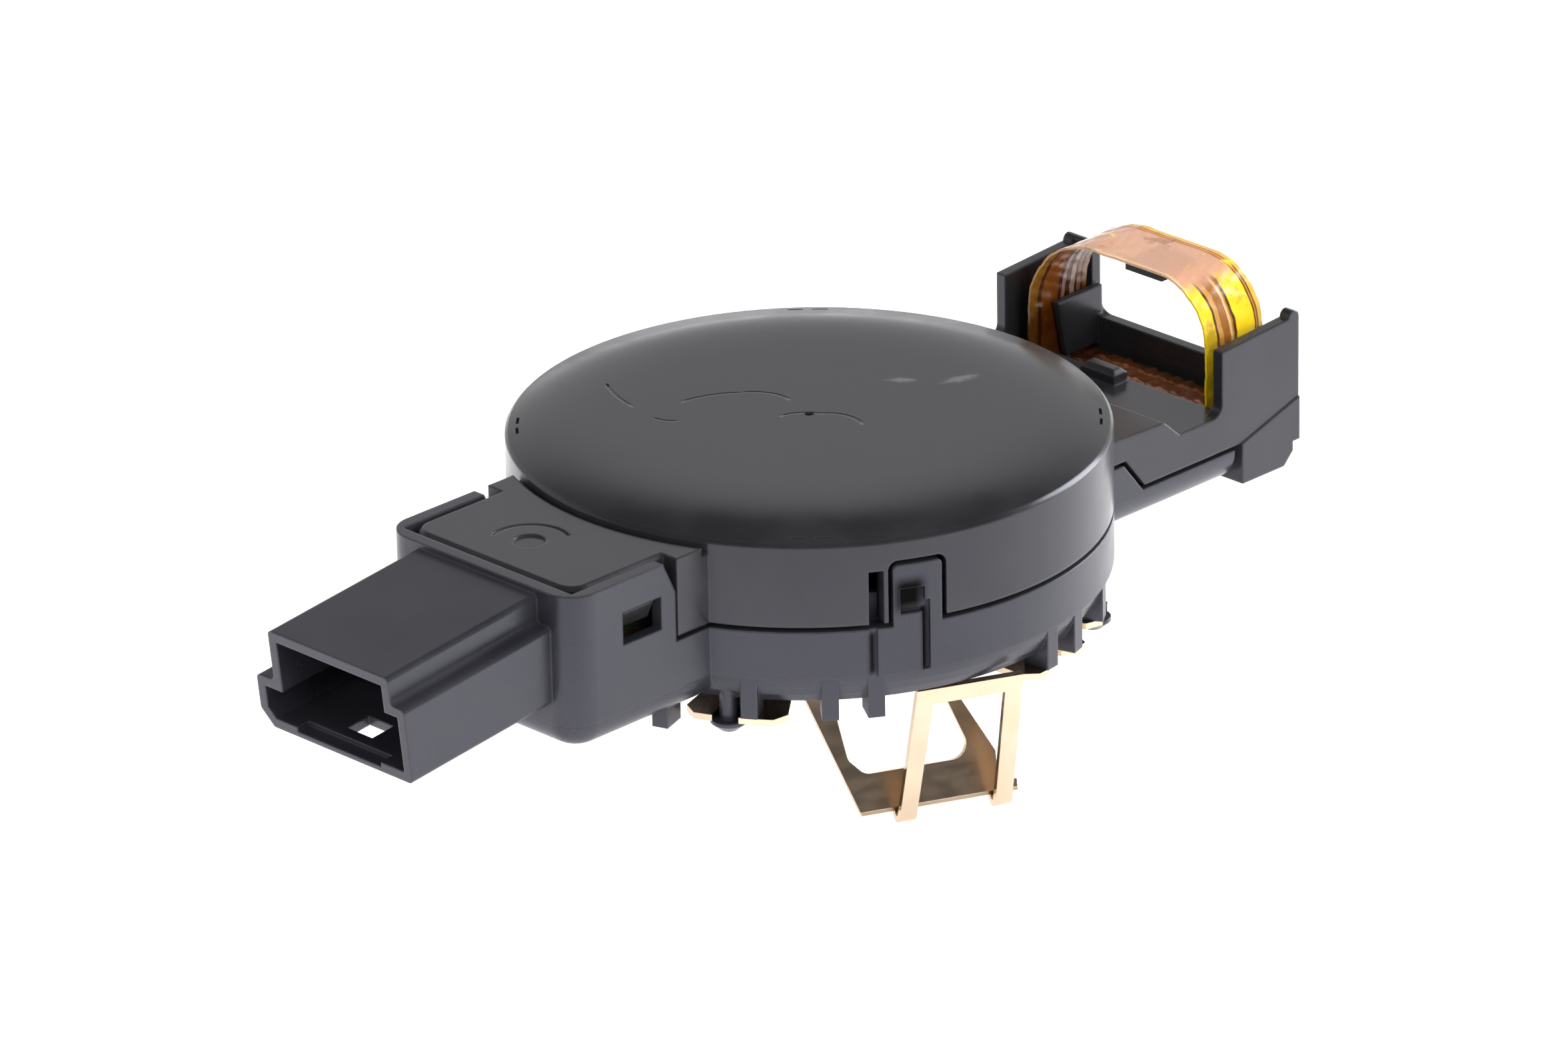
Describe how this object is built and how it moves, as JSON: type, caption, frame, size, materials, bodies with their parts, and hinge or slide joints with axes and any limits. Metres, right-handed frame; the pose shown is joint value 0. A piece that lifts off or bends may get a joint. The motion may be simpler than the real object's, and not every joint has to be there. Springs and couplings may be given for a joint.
{
  "type": "rain sensor",
  "caption": "Round windscreen rain sensor with a keyed plug socket, sheet-metal retaining clips and a flex circuit arch that carries a humidity chip.",
  "frame": {"origin": "centre of the coupling pad's face, on the axis of the round body", "axes": "+Z out of the cover's dome, away from the windscreen; +X towards the pocket arm with the flex circuit, -X towards the plug socket"},
  "size_m": [0.0716, 0.0362, 0.0224],
  "materials": {
    "cover_plastic": "fine eroded black plastic",
    "base_plastic": "fine eroded black plastic",
    "spring_metal": "gold-toned plated spring sheet",
    "clear_optic": "clear moulded optic",
    "silicone": "soft clear silicone",
    "board": "green solder mask",
    "tinned_metal": "tin plated",
    "flex_film": "amber polyimide film with copper tracks",
    "package_black": "moulded black package",
    "connector_plastic": "natural plastic",
    "baffle_plastic": "dull black plastic",
    "package_clear": "clear moulded package",
    "ceramic": "ceramic body with tinned ends"
  },
  "bodies": {
    "root": {"upper_cover": "cover_plastic", "base_housing": "base_plastic", "retaining_spring": "spring_metal", "light_guide": "clear_optic", "coupling_pad": "silicone", "circuit_board": "board", "terminal_1": "tinned_metal", "terminal_2": "tinned_metal", "terminal_3": "tinned_metal", "flex_circuit": "flex_film", "humidity_chip": "package_black", "flex_connector": "connector_plastic", "optical_baffle": "baffle_plastic", "emitter_1": "package_clear", "emitter_2": "package_clear", "receiver_1": "package_black", "receiver_2": "package_black", "ambient_light_sensor": "package_clear", "forward_light_sensor": "package_clear", "microcontroller": "package_black", "bus_transceiver": "package_black", "voltage_regulator": "package_black", "capacitor_1": "ceramic", "capacitor_2": "ceramic"}
  },
  "joints": []
}
